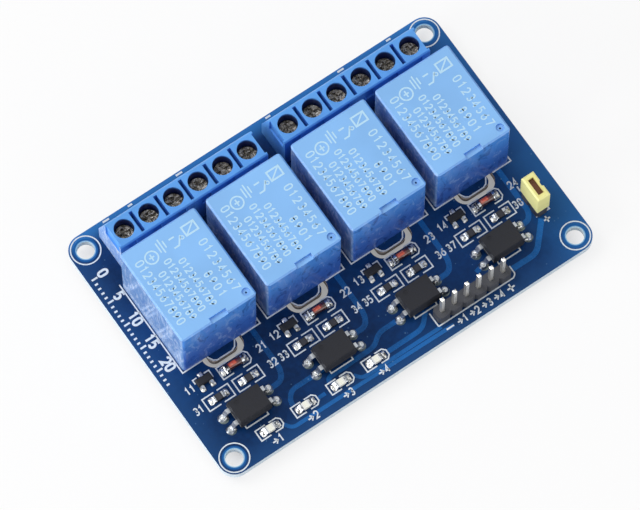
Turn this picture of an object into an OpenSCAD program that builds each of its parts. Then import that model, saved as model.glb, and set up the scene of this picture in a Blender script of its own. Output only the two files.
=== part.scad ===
// Relay module board: four sealed relays on a printed circuit board, with their
// opto-isolated drivers in front and a row of screw terminals behind.
// Millimetres. +X along the long side, +Y towards the terminals, +Z up.
// The origin is under the board's centre, at the tips of the soldered pins.

/* [Board] */
// Length of the board along X
board_l = 77; // [74:0.5:90]
// Width of the board along Y
board_w = 51.5; // [50.5:0.5:60]
// Thickness of the board
board_t = 1.6; // [1.2:0.1:2.4]
// Distance of each mounting hole from both edges, and radius of the corners
hole_inset = 3; // [2.6:0.1:3.6]
// Diameter of the mounting holes
hole_d = 3.2; // [2.4:0.1:3.4]
// How far the soldered pins stand out under the board
pin_below = 1.8; // [1.4:0.1:2.6]
// Diameter of the plated pin holes
pin_hole_d = 1.3; // [1.25:0.05:1.5]
// Width of each solder joint under the board
solder_d = 2.2; // [1.9:0.1:2.5]
// Height of each solder joint under the board
solder_h = 1; // [0.6:0.1:1.2]

/* [Relays] */
// Distance between two relays
relay_pitch = 17.5; // [16.8:0.1:18.4]
// Gap between the relays and the terminal blocks
relay_gap = 2.4; // [1.6:0.1:3]
// Width of a relay case along X
relay_w = 15.4; // [15:0.1:16.4]
// Length of a relay case along Y
relay_l = 19.1; // [18.7:0.1:20]
// Height of a relay case
relay_h = 15.4; // [15.2:0.1:17]
// Wall of the relay case
case_wall = 0.8; // [0.6:0.05:0.9]
// Radius of the case's upright edges
case_r = 0.7; // [0.4:0.1:1.2]
// Bevel round the top of the case
case_bevel = 0.3; // [0.1:0.05:0.5]
// Length of the recess in the case's front top edge
notch_l = 3.4; // [2:0.1:5]
// How far that recess reaches back from the front
notch_w = 1; // [0.8:0.1:1.6]
// Depth of that recess
notch_depth = 0.6; // [0.2:0.05:0.65]
// Centre of that recess to the right of the case's middle
notch_x = 0.1; // [-3:0.1:3]
// Diameter of the vent recess on the top
vent_d = 1.5; // [1:0.1:2]
// Depth of the vent recess
vent_depth = 0.35; // [0.1:0.05:0.45]
// Distance of the vent from the front and the right of the case
vent_inset = 1.4; // [1.4:0.05:2.5]
// Thickness of the base plate that closes the case
base_t = 2.2; // [1.6:0.1:2.6]
// Height of the base plate's feet
foot_h = 0.4; // [0.2:0.1:0.8]

/* [Relay mechanism] */
// Room between the contacts and the end of the case
end_room = 0.25; // [0.1:0.05:0.4]
// Room between the contact pins and the side of the case
side_room = 0.45; // [0.35:0.05:0.8]
// Room between the upper contact and the roof of the case
top_room = 0.74; // [0.3:0.02:1]
// Distance along Y from the common pin to the coil pins
coil_row = 2; // [1.8:0.1:2.2]
// Thickness of the yoke
yoke_t = 1; // [0.8:0.05:1.1]
// Width of the yoke and the armature
yoke_w = 9; // [7:0.5:10]
// Diameter of the iron core
core_d = 3.4; // [2.6:0.1:4]
// Outer diameter of the winding
winding_d = 9; // [7:0.1:9.2]
// Thickness of the bobbin's flanges and tube
bobbin_t = 0.6; // [0.4:0.05:0.7]
// Thickness of the armature
armature_t = 1; // [0.8:0.05:1.1]
// Angle that the armature stands open when the relay is off
armature_angle = 4; // [3:0.25:4.5]
// Air gap between the armature and the iron under it
armature_gap = 0.1; // [0.08:0.01:0.15]
// Diameter of the moving contact
contact_d = 2.8; // [2:0.1:3.2]
// Height of each contact button
contact_h = 0.35; // [0.25:0.05:0.4]
// Thickness of the fixed contact arms
arm_t = 0.5; // [0.35:0.05:0.55]

/* [Terminals] */
// Distance between two poles
term_pitch = 5.08; // [5:0.01:5.12]
// Clear width between the two groups of blocks
group_gap = 3.38; // [2.4:0.02:4]
// Distance of the screws from the board's back edge
term_inset = 6.6; // [6:0.1:7]
// Height of the terminal blocks
term_h = 10; // [9.9:0.1:12]
// Depth of the block from the screws back to the relays
term_rear = 2.75; // [2.7:0.05:3.2]
// Depth of the block's foot from the screws to the wire side
term_front = 4.35; // [4:0.05:5]
// Depth of the block's top from the screws to the wire side
term_top = 2.5; // [2.2:0.05:3]
// Height at which the wire side starts to lean back
lean_z = 4.2; // [4:0.1:5]
// Thickness of the ledge on which the screw heads turn
ledge_t = 0.4; // [0.3:0.05:0.6]
// Width of the slots between the poles
slot_w = 0.7; // [0.3:0.05:0.7]
// Length of the slots between the poles
slot_l = 4.2; // [3:0.1:4.4]
// Depth of the slots between the poles
slot_depth = 3; // [1:0.1:3.5]
// Width of a wire entry
entry_w = 3.6; // [3:0.1:3.8]
// Height of a wire entry
entry_h = 3.3; // [2.6:0.1:3.5]

/* [Clamps] */
// Diameter of the screw head
head_d = 3.46; // [3.2:0.02:3.6]
// Clearance between the screw head and its recess
head_room = 0.07; // [0.04:0.01:0.12]
// Height of the screw head
head_h = 1.4; // [1.1:0.1:1.6]
// Diameter of the screw's shank
shank_d = 2.5; // [2.2:0.05:2.5]
// Width of the rising cage along X
cage_w = 3.8; // [3.6:0.05:3.8]
// Depth of the rising cage along Y
cage_l = 3.4; // [3.2:0.05:3.5]
// Wall of the rising cage
cage_wall = 0.5; // [0.4:0.05:0.6]
// Thickness of the cage's threaded top
cage_top_t = 0.8; // [0.6:0.05:1]
// How far the cage rises
cage_travel = 1.6; // [1.2:0.1:2]
// Thickness of the fixed bar in the cage
bar_t = 0.5; // [0.4:0.05:0.6]

/* [Headers] */
// Distance between two header pins
header_pitch = 2.54; // [2.5:0.01:2.6]
// Height of the header's plastic strip
strip_h = 2.5; // [2:0.1:3]
// Width of a header pin
post_w = 0.64; // [0.5:0.02:0.64]
// Height of the input pins above the strip
input_post_h = 6; // [5:0.1:8]
// Height of the jumper pins above the strip
jumper_post_h = 4.8; // [4:0.1:6]
// Middle of the input header to the right of the board's middle
input_x = 14.56; // [13.5:0.02:15.5]
// Distance of the input pins from the board's front edge
input_inset = 4.1; // [3.9:0.05:4.3]
// Distance of the jumper pins to the right of the last relay's middle
jumper_side = 6.85; // [6.6:0.05:9]
// Distance of the jumper header in front of the relays
jumper_drop = 8.8; // [6:0.1:9.5]
// Width of the jumper cap
cap_w = 2.5; // [2.4:0.05:2.8]
// Length of the jumper cap
cap_l = 5.1; // [5:0.05:5.4]
// Thickness of the jumper cap above its clip's room
cap_roof = 0.75; // [0.6:0.05:1.2]

/* [Driver parts] */
// Length of an optocoupler's body along X
opto_l = 6.5; // [6:0.1:7]
// Width of an optocoupler's body along Y
opto_w = 4.6; // [4.2:0.1:4.8]
// Height of the top of an optocoupler
opto_h = 3.6; // [3:0.1:4]
// Distance between the optocoupler's feet across its body
opto_span = 9.5; // [9.3:0.1:9.9]
// Length of a diode between the ends of its caps
diode_l = 3.6; // [3.2:0.1:4]
// Diameter of a diode's caps
diode_d = 1.6; // [1.4:0.05:1.8]
// Length of a chip resistor or a chip lamp
chip_l = 2; // [1.8:0.1:2.4]
// Width of a chip resistor or a chip lamp
chip_w = 1.25; // [1:0.05:1.4]
// Distance between two indicator lamps
lamp_pitch = 7.3; // [7:0.1:7.4]
// Middle of the first indicator lamp to the left of the board's middle
lamp_x = 27.55; // [26:0.05:28]
// Distance of the indicator lamps from the board's front edge
lamp_inset = 3.8; // [3.6:0.1:4]

/* [Hidden] */
$fn = 48;
channels = 4;
poles_per_block = 3;
blocks = 4;
poles = poles_per_block * blocks;
input_pins = 6;
jumper_pins = 2;
eps = 0.01;
seat = 0.02;      // clearance of pieces that are pressed or laid together
fit_gap = 0.1;    // clearance of pieces that slide past each other
running = 0.05;   // clearance of a shaft that turns in a hole
pin_w = 0.9;
pin_t = 0.5;

// Levels
pole_face_t = 0.4;
board_bottom = pin_below;
board_top = board_bottom + board_t;
base_bottom = board_top + foot_h;
base_top = base_bottom + base_t;
foot_top = base_top + yoke_t;
case_roof = board_top + relay_h - case_wall;

// Relay mechanism, along Y from the middle of the relay
contact_y = relay_l / 2 - case_wall - end_room - contact_d / 2;
com_y = -contact_y;
coil_pin_y = com_y + coil_row;
yoke_back = com_y + yoke_t / 2;
core_y = yoke_back + winding_d / 2 + 1;
blade_t = 0.2;
blade_w = 4;
pin_side = relay_w / 2 - case_wall - side_room - pin_w / 2;
contact_reach = contact_y - com_y;
armature_l = core_y + core_d / 2 + 1.4 - com_y;
moving_top = armature_t + blade_t + contact_h;
moving_bottom = armature_t - contact_h;
contact_gap = 0.08;
open_rise = (contact_reach + contact_d / 2) * sin(armature_angle) + moving_top * cos(armature_angle);

// The winding fills the height that the contacts leave under the roof
nc_z = case_roof - top_room - arm_t - contact_h;
armature_z = nc_z - contact_gap - open_rise;
no_z = armature_z + moving_bottom - contact_gap;
iron_top = armature_z - armature_gap;
bobbin_top = iron_top - pole_face_t;
winding_h = bobbin_top - foot_top - 2 * bobbin_t;

// Terminals
term_y = board_w / 2 - term_inset;
block_l = poles_per_block * term_pitch;
board_clear = 0.4;
bar_z = 2.45;
wire_h = cage_travel + fit_gap + running;
cage_h = cage_wall + wire_h + bar_t + fit_gap + cage_top_t;
cage_back = -cage_l / 2 + 0.15;
cage_top = bar_z + bar_t + fit_gap + cage_top_t;
ledge_z = cage_top + cage_travel + fit_gap + ledge_t;
recess_d = head_d + 2 * head_room;
leg_y = cage_back - fit_gap - bar_t;
chamber_back = leg_y - seat;
chamber_front = cage_back + cage_l + fit_gap;
chamber_top = ledge_z - ledge_t;
chamber_w = cage_w + 2 * fit_gap;
shank_end = bar_z + bar_t + fit_gap;
leg_w = 1;

// Headers
post_below = 1.4;
input_y = -board_w / 2 + input_inset;
strip_w = 2.5;
strip_bevel = 0.45;
strip_top = board_top + strip_h;
clip_t = 0.2;
clip_w = post_w + 2 * 0.06 + 2 * clip_t;
clip_l = header_pitch + post_w + 2 * 0.38;
clip_top = jumper_post_h + 0.45;
cap_h = clip_top + cap_roof;

// Rows of parts in front of the relays, which share the free depth down to the input header
relay_y = term_y - term_rear - relay_gap - relay_l / 2;
relay_front = relay_y - relay_l / 2;
jumper_x = channel_x(channels - 1) + jumper_side;
jumper_y = relay_front - jumper_drop;
row_depth = relay_front - (input_y + strip_w / 2);
free_depth = row_depth - diode_d - chip_w - opto_w;
diode_y = relay_front - 0.395 * free_depth - diode_d / 2;
resistor_y = diode_y - diode_d / 2 - 0.239 * free_depth - chip_w / 2;
opto_y = resistor_y - chip_w / 2 - 0.226 * free_depth - opto_w / 2;
transistor_y = relay_front - 0.502 * (relay_front - resistor_y - chip_w / 2);

// Driver parts, along X from the middle of the channel
transistor_x = -5.75;
diode_x = 0.1;
resistor_x = [0.8, -5.35];
opto_x = -2.25;
lead_pitch = 2.54;
pad_t = 0.05;

// Isolation slot round the common pin, from the relay's front
slot_inner = 2.85;
slot_cut = 1.15;
slot_tip = 1.55;
slot_corner = 1.2;
slot_deep = relay_l / 2 + com_y + 1.2;

function channel_x(i) = (i - (channels - 1) / 2) * relay_pitch;
function pole_side(k) = k < poles / 2 ? -1 : 1;
function pole_x(k) = (k - (poles - 1) / 2) * term_pitch + pole_side(k) * group_gap / 2;
function block_x(b) = pole_x(b * poles_per_block + (poles_per_block - 1) / 2);
function input_pin_x(k) = input_x + (k - (input_pins - 1) / 2) * header_pitch;
function jumper_pin_y(k) = jumper_y + (k - (jumper_pins - 1) / 2) * header_pitch;
function lamp_at(k) = -lamp_x + k * lamp_pitch;
function numbered(name, n) = [for (i = [1 : n]) str(name, "_", i)];

// ---- shared shapes ----

// Rectangle with round corners
module round_rect(l, w, r) {
    square([l - 2 * r, w], center = true);
    square([l, w - 2 * r], center = true);
    for (x = [-1, 1], y = [-1, 1])
        translate([x * (l / 2 - r), y * (w / 2 - r)]) circle(r);
}

// Outline of a bar that is bevelled at its top corners
module bevelled_outline(w, h, bevel) {
    polygon([
        [-w / 2, 0], [w / 2, 0], [w / 2, h - bevel], [w / 2 - bevel, h],
        [-w / 2 + bevel, h], [-w / 2, h - bevel]
    ]);
}

// Block that stands on z = 0 and is bevelled along all four top edges
module bevelled_block(l, w, h, bevel) {
    intersection() {
        rotate([90, 0, 0]) linear_extrude(w, center = true) bevelled_outline(l, h, bevel);
        rotate([90, 0, 90]) linear_extrude(l, center = true) bevelled_outline(w, h, bevel);
    }
}

// Box centred in X and Y that stands on z = 0
module box(size) {
    translate([-size[0] / 2, -size[1] / 2, 0]) cube(size);
}

// Box between two corners
module span_box(low, high) {
    translate(low) cube(high - low);
}

// Square post with bevelled ends
module post(w, low, high) {
    tip = w * 0.3;
    translate([0, 0, low]) bevelled_block(w, w, high - low, tip);
}

module at_relays() {
    for (i = [0 : channels - 1]) at_relay(i) children();
}

module at_relay(i) {
    translate([channel_x(i), relay_y, 0]) children();
}

module at_pole(k) {
    translate([pole_x(k), term_y, board_top]) children();
}

module at_poles() {
    for (k = [0 : poles - 1]) at_pole(k) children();
}

module at_posts() {
    for (k = [0 : input_pins - 1]) translate([input_pin_x(k), input_y, 0]) children();
    for (k = [0 : jumper_pins - 1]) translate([jumper_x, jumper_pin_y(k), 0]) children();
}

// ---- board ----

// Places of a relay's five pins, from the relay's middle
module at_relay_pins() {
    translate([0, com_y, 0]) children();
    for (x = [-1, 1], y = [coil_pin_y, contact_y])
        translate([x * pin_side, y, 0]) children();
}

module at_pin_holes() {
    at_relays() at_relay_pins() children();
    for (k = [0 : poles - 1])
        translate([pole_x(k), term_y + leg_y + bar_t / 2, 0]) children();
    at_posts() children();
}

// Tongue that reaches forward from under the relay, with round front corners
module tongue_outline(half, tip, corner, deep) {
    translate([-half, corner - tip]) square([2 * half, deep + tip - corner]);
    translate([corner - half, -tip]) square([2 * (half - corner), corner + eps]);
    for (x = [-1, 1]) translate([x * (half - corner), corner - tip]) circle(corner);
}

// Slot milled round the tongue that carries the common pin
module isolation_slot() {
    translate([0, -relay_l / 2, 0]) linear_extrude(board_t + 2 * eps) difference() {
        tongue_outline(slot_inner + slot_cut, slot_tip + slot_cut, slot_corner + slot_cut, slot_deep);
        tongue_outline(slot_inner, slot_tip, slot_corner, slot_deep + 1);
    }
}

module pcb() {
    color([0.13, 0.27, 0.5]) translate([0, 0, board_bottom]) difference() {
        linear_extrude(board_t) round_rect(board_l, board_w, hole_inset);
        translate([0, 0, -eps]) {
            for (x = [-1, 1], y = [-1, 1])
                translate([x * (board_l / 2 - hole_inset), y * (board_w / 2 - hole_inset), 0])
                    cylinder(h = board_t + 2 * eps, d = hole_d);
            at_relays() isolation_slot();
            at_pin_holes() cylinder(h = board_t + 2 * eps, d = pin_hole_d);
        }
    }
}

// Solder fills the hole round the pin and stands as a cone under the board
module solder_joint(pin) {
    tip_d = norm(pin) + 0.2;
    difference() {
        translate([0, 0, board_bottom]) {
            cylinder(h = board_t, d = pin_hole_d);
            translate([0, 0, -solder_h]) cylinder(h = solder_h, d1 = tip_d, d2 = solder_d);
        }
        box([pin[0], pin[1], board_top + 1]);
    }
}

module solder_joints() {
    color([0.78, 0.79, 0.8]) {
        at_relays() at_relay_pins() solder_joint([pin_w, pin_t]);
        for (k = [0 : poles - 1])
            translate([pole_x(k), term_y + leg_y + bar_t / 2, 0]) solder_joint([leg_w, bar_t]);
        at_posts() solder_joint([post_w, post_w]);
    }
}

// ---- relays ----

module relay_case(i) {
    inner_l = relay_l - 2 * case_wall;
    inner_w = relay_w - 2 * case_wall;
    inner_r = max(case_r - case_wall, 0.1);
    color([0.36, 0.58, 0.88]) at_relay(i) translate([0, 0, board_top]) difference() {
        intersection() {
            bevelled_block(relay_w, relay_l, relay_h, case_bevel);
            linear_extrude(relay_h) round_rect(relay_w, relay_l, case_r);
        }
        translate([0, 0, -eps])
            linear_extrude(relay_h - case_wall + eps) round_rect(inner_w, inner_l, inner_r);
        translate([notch_x - notch_l / 2, -relay_l / 2 - eps, relay_h - notch_depth])
            cube([notch_l, notch_w + eps, notch_depth + eps]);
        translate([relay_w / 2 - vent_inset, -relay_l / 2 + vent_inset, relay_h - case_wall - eps]) {
            cylinder(h = case_wall + 2 * eps, d = vent_d / 4);
            translate([0, 0, case_wall - vent_depth]) cylinder(h = case_wall, d = vent_d);
        }
    }
}

// Base plate with its four feet and the slots for the five pins
module relay_base(i) {
    l = relay_l - 2 * case_wall - 2 * fit_gap;
    w = relay_w - 2 * case_wall - 2 * fit_gap;
    rim = 0.8;
    color([0.16, 0.3, 0.6]) at_relay(i) translate([0, 0, base_bottom]) difference() {
        union() {
            box([w, l, base_t]);
            for (x = [-1, 1], y = [-1, 1])
                translate([x * (w / 2 - rim), y * (l / 2 - rim), -foot_h])
                    cylinder(h = foot_h + eps, d = 1);
        }
        translate([0, 0, -foot_h]) at_relay_pins()
            box([pin_w + 2 * seat, pin_t + 2 * seat, base_t + 2 * foot_h]);
    }
}

// L-shaped yoke with the common pin at its foot
module relay_yokes() {
    foot_end = core_y + core_d / 2 + 1;
    color([0.72, 0.72, 0.7]) at_relays() {
        difference() {
            translate([-yoke_w / 2, com_y - yoke_t / 2, base_top]) {
                cube([yoke_w, yoke_t, iron_top - base_top]);
                cube([yoke_w, foot_end - com_y + yoke_t / 2, yoke_t]);
            }
            translate([0, core_y, base_top - eps])
                cylinder(h = yoke_t + 2 * eps, d = core_d - 2 * bobbin_t);
        }
        translate([0, com_y, 0]) box([pin_w, pin_t, base_top + eps]);
    }
}

// Core, riveted in the yoke's foot below and spread to a pole face above
module relay_cores() {
    rivet_d = core_d - 2 * bobbin_t;
    color([0.6, 0.6, 0.6]) at_relays() translate([0, core_y, 0]) {
        translate([0, 0, base_top]) cylinder(h = yoke_t, d = rivet_d);
        translate([0, 0, foot_top]) cylinder(h = bobbin_top - foot_top, d = core_d);
        translate([0, 0, bobbin_top]) cylinder(h = pole_face_t, d = core_d + 2 * bobbin_t);
    }
}

// Bobbin: a lower flange that carries the coil pins, a tube and an upper flange
module relay_bobbins() {
    flange = winding_d + 0.4;
    ear_l = pin_w + 0.6;
    color([0.9, 0.88, 0.8]) at_relays() difference() {
        union() {
            translate([0, core_y, foot_top]) {
                box([flange, flange, bobbin_t]);
                cylinder(h = bobbin_top - foot_top, d = core_d + 2 * bobbin_t);
            }
            translate([0, coil_pin_y, foot_top]) box([2 * pin_side + ear_l, pin_t + 0.8, bobbin_t]);
            translate([0, core_y, bobbin_top - bobbin_t]) box([flange, flange, bobbin_t]);
        }
        translate([0, core_y, foot_top - eps])
            cylinder(h = bobbin_top - foot_top + 2 * eps, d = core_d + 2 * seat);
    }
}

module relay_windings() {
    color([0.72, 0.42, 0.22]) at_relays() translate([0, core_y, foot_top + bobbin_t])
        difference() {
            cylinder(h = winding_h, d = winding_d);
            translate([0, 0, -eps])
                cylinder(h = winding_h + 2 * eps, d = core_d + 2 * bobbin_t + 2 * seat);
        }
}

module relay_coil_pins() {
    color([0.85, 0.83, 0.78]) at_relays() for (x = [-1, 1])
        translate([x * pin_side, coil_pin_y, 0]) box([pin_w, pin_t, foot_top]);
}

// Armature on the yoke's upper edge, with its spring blade and moving contact
module relay_armature(i) {
    tilt = armature_angle;
    color([0.76, 0.74, 0.68]) at_relay(i) translate([0, com_y, armature_z]) rotate([tilt, 0, 0]) {
        translate([-yoke_w / 2, -yoke_t / 2, 0]) cube([yoke_w, armature_l + yoke_t / 2, armature_t]);
        translate([-blade_w / 2, 0, armature_t])
            cube([blade_w, contact_reach + contact_d / 2, blade_t]);
        translate([0, armature_l - 1.2, armature_t]) for (x = [-1, 1])
            translate([x * blade_w / 4, 0, 0]) cylinder(h = 2 * blade_t, d = 1);
        translate([0, contact_reach, moving_bottom])
            cylinder(h = moving_top - moving_bottom, d = contact_d);
    }
}

// A fixed contact: pin, upright, arm and button; side is -1 for the closed one
module fixed_contact(side, arm_z, button_z) {
    translate([side * pin_side, contact_y, 0]) box([pin_w, pin_t, arm_z + arm_t]);
    translate([min(0, side * pin_side) - pin_w / 2, contact_y - contact_d / 2, arm_z])
        cube([pin_side + pin_w, contact_d, arm_t]);
    translate([0, contact_y, button_z]) cylinder(h = contact_h, d = contact_d);
}

module relay_contacts() {
    color([0.8, 0.62, 0.38]) at_relays() {
        fixed_contact(-1, nc_z + contact_h, nc_z);
        fixed_contact(1, no_z - contact_h - arm_t, no_z - contact_h);
    }
}

// ---- terminal blocks ----

// Side view of a block, y to the wire side
module block_outline() {
    edge = 0.25;
    polygon([
        [-term_rear, 0], [-term_rear, term_h - edge], [-term_rear + edge, term_h],
        [term_top - edge, term_h], [term_top, term_h - edge], [term_front, lean_z],
        [term_front, 0]
    ]);
}

// The hollow of one pole: screw recess, shank hole, cage chamber and wire entry
module pole_hollow() {
    rear_w = 1.8;
    rear_t = 0.4;
    translate([0, 0, ledge_z]) cylinder(h = term_h, d = recess_d);
    translate([0, 0, chamber_top - eps]) cylinder(h = ledge_t + 2 * eps, d = shank_d + 2 * running);
    span_box([-chamber_w / 2, chamber_back, -eps], [chamber_w / 2, chamber_front, chamber_top]);
    span_box([-entry_w / 2, 0, board_clear], [entry_w / 2, term_front + eps, board_clear + entry_h]);
    span_box([-rear_w / 2, -term_rear - eps, chamber_top + 0.4],
        [rear_w / 2, -term_rear + rear_t, term_h - 0.7]);
}

module terminal_block(b) {
    first = b * poles_per_block;
    color([0.33, 0.66, 0.93]) difference() {
        translate([block_x(b), term_y, board_top]) rotate([90, 0, 90])
            linear_extrude(block_l - 2 * seat, center = true) block_outline();
        for (k = [first : first + poles_per_block - 1]) at_pole(k) {
            pole_hollow();
            for (x = [-1, 1])
                translate([x * term_pitch / 2, (term_top - term_rear) / 2, term_h - slot_depth])
                    box([slot_w, slot_l, slot_depth + eps]);
        }
    }
}

// Fixed bar inside the cage, with the solder pin behind it
module terminal_bars() {
    bar_w = cage_w - 2 * cage_wall - 2 * fit_gap;
    color([0.8, 0.8, 0.78]) at_poles() {
        span_box([-bar_w / 2, leg_y, bar_z], [bar_w / 2, cage_back + cage_l, bar_z + bar_t]);
        span_box([-bar_w / 2, leg_y, board_clear], [bar_w / 2, leg_y + bar_t, bar_z + eps]);
        span_box([-leg_w / 2, leg_y, -board_top], [leg_w / 2, leg_y + bar_t, board_clear + eps]);
    }
}

// Outline of the screw's head, for a full turn about its axis
module head_outline() {
    bevel = 0.25;
    polygon([
        [0, 0], [head_d / 2, 0], [head_d / 2, head_h - bevel], [head_d / 2 - bevel, head_h],
        [0, head_h]
    ]);
}

module clamp_screw(k) {
    drive_w = 0.6;
    drive_t = 0.6;
    cross_l = head_d * 0.62;
    color([0.72, 0.68, 0.6]) at_pole(k) {
        difference() {
            translate([0, 0, ledge_z + seat]) rotate_extrude() head_outline();
            translate([0, 0, ledge_z + seat + head_h - drive_t]) {
                box([head_d + 1, drive_w, drive_t + eps]);
                box([drive_w, cross_l, drive_t + eps]);
            }
        }
        translate([0, 0, shank_end]) cylinder(h = ledge_z + 2 * seat - shank_end, d = shank_d);
    }
}

// Cage that rises on the screw and pulls the wire up against the fixed bar
module clamp_cage(k) {
    inner_w = cage_w - 2 * cage_wall;
    color([0.82, 0.82, 0.8]) at_pole(k) translate([0, 0, cage_top - cage_h]) difference() {
        span_box([-cage_w / 2, cage_back, 0], [cage_w / 2, cage_back + cage_l, cage_h]);
        span_box([-inner_w / 2, cage_back - eps, cage_wall],
            [inner_w / 2, cage_back + cage_l + eps, cage_h - cage_top_t]);
        translate([0, 0, cage_h - cage_top_t - eps])
            cylinder(h = cage_top_t + 2 * eps, d = shank_d + 2 * running);
    }
}

// ---- headers ----

// Strip of bevelled cells, one for each pin, along X
module strip_outline(cells) {
    half = header_pitch / 2;
    for (k = [0 : cells - 1]) translate([(k - (cells - 1) / 2) * header_pitch, 0]) polygon([
        [-half, -strip_w / 2 + strip_bevel], [-half + strip_bevel, -strip_w / 2],
        [half - strip_bevel, -strip_w / 2], [half, -strip_w / 2 + strip_bevel],
        [half, strip_w / 2 - strip_bevel], [half - strip_bevel, strip_w / 2],
        [-half + strip_bevel, strip_w / 2], [-half, strip_w / 2 - strip_bevel]
    ]);
}

module header_strip(cells) {
    difference() {
        linear_extrude(strip_h) strip_outline(cells);
        for (k = [0 : cells - 1]) translate([(k - (cells - 1) / 2) * header_pitch, 0, -eps])
            box([post_w + 2 * seat, post_w + 2 * seat, strip_h + 2 * eps]);
    }
}

module input_strip() {
    color([0.16, 0.16, 0.18]) translate([input_x, input_y, board_top]) header_strip(input_pins);
}

module jumper_strip() {
    color([0.16, 0.16, 0.18]) translate([jumper_x, jumper_y, board_top])
        rotate([0, 0, 90]) header_strip(jumper_pins);
}

module header_pins() {
    low = board_bottom - post_below;
    color([0.86, 0.84, 0.76]) {
        for (k = [0 : input_pins - 1])
            translate([input_pin_x(k), input_y, 0]) post(post_w, low, strip_top + input_post_h);
        for (k = [0 : jumper_pins - 1])
            translate([jumper_x, jumper_pin_y(k), 0]) post(post_w, low, strip_top + jumper_post_h);
    }
}

module at_cap() {
    translate([jumper_x, jumper_y, strip_top]) children();
}

// Cap with a waist on its outer side, a hollow for the clip and a window on top
module jumper_cap() {
    waist_l = 1.1;
    waist_t = 0.35;
    window_w = 1.1;
    window_l = 3.3;
    color([0.96, 0.93, 0.55]) at_cap() difference() {
        bevelled_block(cap_w, cap_l, cap_h, 0.25);
        translate([0, 0, -eps])
            box([clip_w + 2 * seat, clip_l + 2 * seat, clip_top + clip_t + seat + eps]);
        translate([0, 0, clip_top]) box([window_w, window_l, cap_h]);
        translate([cap_w / 2, 0, -eps]) box([2 * waist_t, waist_l, cap_h + 2 * eps]);
    }
}

// Folded contact inside the cap, gripping both pins
module jumper_clip() {
    mouth = 0.5;
    color([0.5, 0.26, 0.2]) at_cap() difference() {
        translate([0, 0, mouth]) box([clip_w, clip_l, clip_top + clip_t - mouth]);
        box([clip_w - 2 * clip_t, clip_l + 2 * eps, clip_top]);
        box([clip_w + 1, header_pitch - 2 * post_w, clip_top - 1]);
    }
}

// ---- driver parts ----

module at_driver(x, y) {
    for (i = [0 : channels - 1]) translate([channel_x(i) + x, y, board_top]) children();
}

// Solder that climbs the end of a part, along +X
module solder_wedge(reach, w, h) {
    rotate([90, 0, 0]) linear_extrude(w, center = true)
        polygon([[0, 0], [reach, 0], [reach, pad_t], [reach * 0.3, h * 0.75], [0, h]]);
}

// Bent lead that leaves the body at mid height and ends in a flat foot, along +X
module gull_lead(body_end, foot_end, z_out, w, t) {
    bend = 0.5;
    foot_l = 0.7;
    rotate([90, 0, 0]) linear_extrude(w, center = true) polygon([
        [body_end - eps, z_out], [body_end + bend, z_out], [foot_end - foot_l, pad_t],
        [foot_end, pad_t], [foot_end, pad_t + t], [foot_end - foot_l + t, pad_t + t],
        [body_end + bend + t, z_out + t], [body_end - eps, z_out + t]
    ]);
}

// Moulded package with a draft on its ends and sides and a dimple by pin one
module opto_body() {
    rise = 0.2;
    mid = opto_h / 2;
    draft = 0.18;
    dimple_d = 0.8;
    dimple_in = 1.5;
    dimple_side = 1.05;
    difference() {
        intersection() {
            rotate([90, 0, 0]) linear_extrude(opto_w, center = true) polygon([
                [-opto_l / 2 + draft, rise], [opto_l / 2 - draft, rise], [opto_l / 2, mid],
                [opto_l / 2 - draft, opto_h], [-opto_l / 2 + draft, opto_h], [-opto_l / 2, mid]
            ]);
            rotate([90, 0, 90]) linear_extrude(opto_l, center = true) polygon([
                [-opto_w / 2 + draft, rise], [opto_w / 2 - draft, rise], [opto_w / 2, mid],
                [opto_w / 2 - draft, opto_h], [-opto_w / 2 + draft, opto_h], [-opto_w / 2, mid]
            ]);
        }
        translate([-opto_l / 2 + dimple_in, opto_w / 2 - dimple_side, opto_h - 0.1])
            cylinder(h = 1, d = dimple_d);
    }
}

module optocouplers() {
    lead_t = 0.25;
    lead_w = 0.9;
    blob_d = 1.6;
    blob_h = 0.5;
    color([0.24, 0.24, 0.27]) at_driver(opto_x, opto_y) {
        opto_body();
        for (side = [0, 180], y = [-1, 1]) rotate([0, 0, side]) translate([0, y * lead_pitch / 2, 0]) {
            gull_lead(opto_l / 2 - 0.1, opto_span / 2 + 0.4, opto_h / 2 - lead_t / 2, lead_w, lead_t);
            translate([opto_span / 2, 0, 0]) cylinder(h = blob_h, d1 = blob_d, d2 = blob_d * 0.6);
        }
    }
}

module transistors() {
    body_l = 2.9;
    body_w = 1.3;
    body_h = 1.1;
    foot = 1.35;
    lead_w = 0.45;
    lead_t = 0.15;
    lead_out = 0.95;
    color([0.2, 0.2, 0.23]) at_driver(transistor_x, transistor_y) {
        translate([0, 0, 0.1]) bevelled_block(body_l, body_w, body_h - 0.1, 0.15);
        for (place = [[0, 1], [-lead_out, -1], [lead_out, -1]])
            translate([place[0], 0, 0]) rotate([0, 0, place[1] * 90]) {
                gull_lead(body_w / 2 - 0.1, foot, body_h / 2, lead_w, lead_t);
                translate([foot - 0.7, 0, 0]) solder_wedge(0.9, 0.8, 0.3);
            }
    }
}

module diodes() {
    cap_l = 0.55;
    glass_d = diode_d - 0.2;
    color([0.85, 0.4, 0.3]) at_driver(diode_x, diode_y) {
        translate([0, 0, diode_d / 2 + pad_t]) rotate([0, 90, 0]) {
            cylinder(h = diode_l - cap_l, d = glass_d, center = true);
            for (x = [-1, 1]) translate([0, 0, x * (diode_l - cap_l) / 2])
                cylinder(h = cap_l, d = diode_d, center = true);
        }
        for (side = [0, 180]) rotate([0, 0, side]) {
            translate([diode_l / 2 - cap_l, -diode_d / 2, 0]) cube([cap_l, diode_d, diode_d / 3]);
            translate([diode_l / 2 - eps, 0, 0]) solder_wedge(0.7, diode_d, diode_d * 0.5);
        }
    }
}

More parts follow.
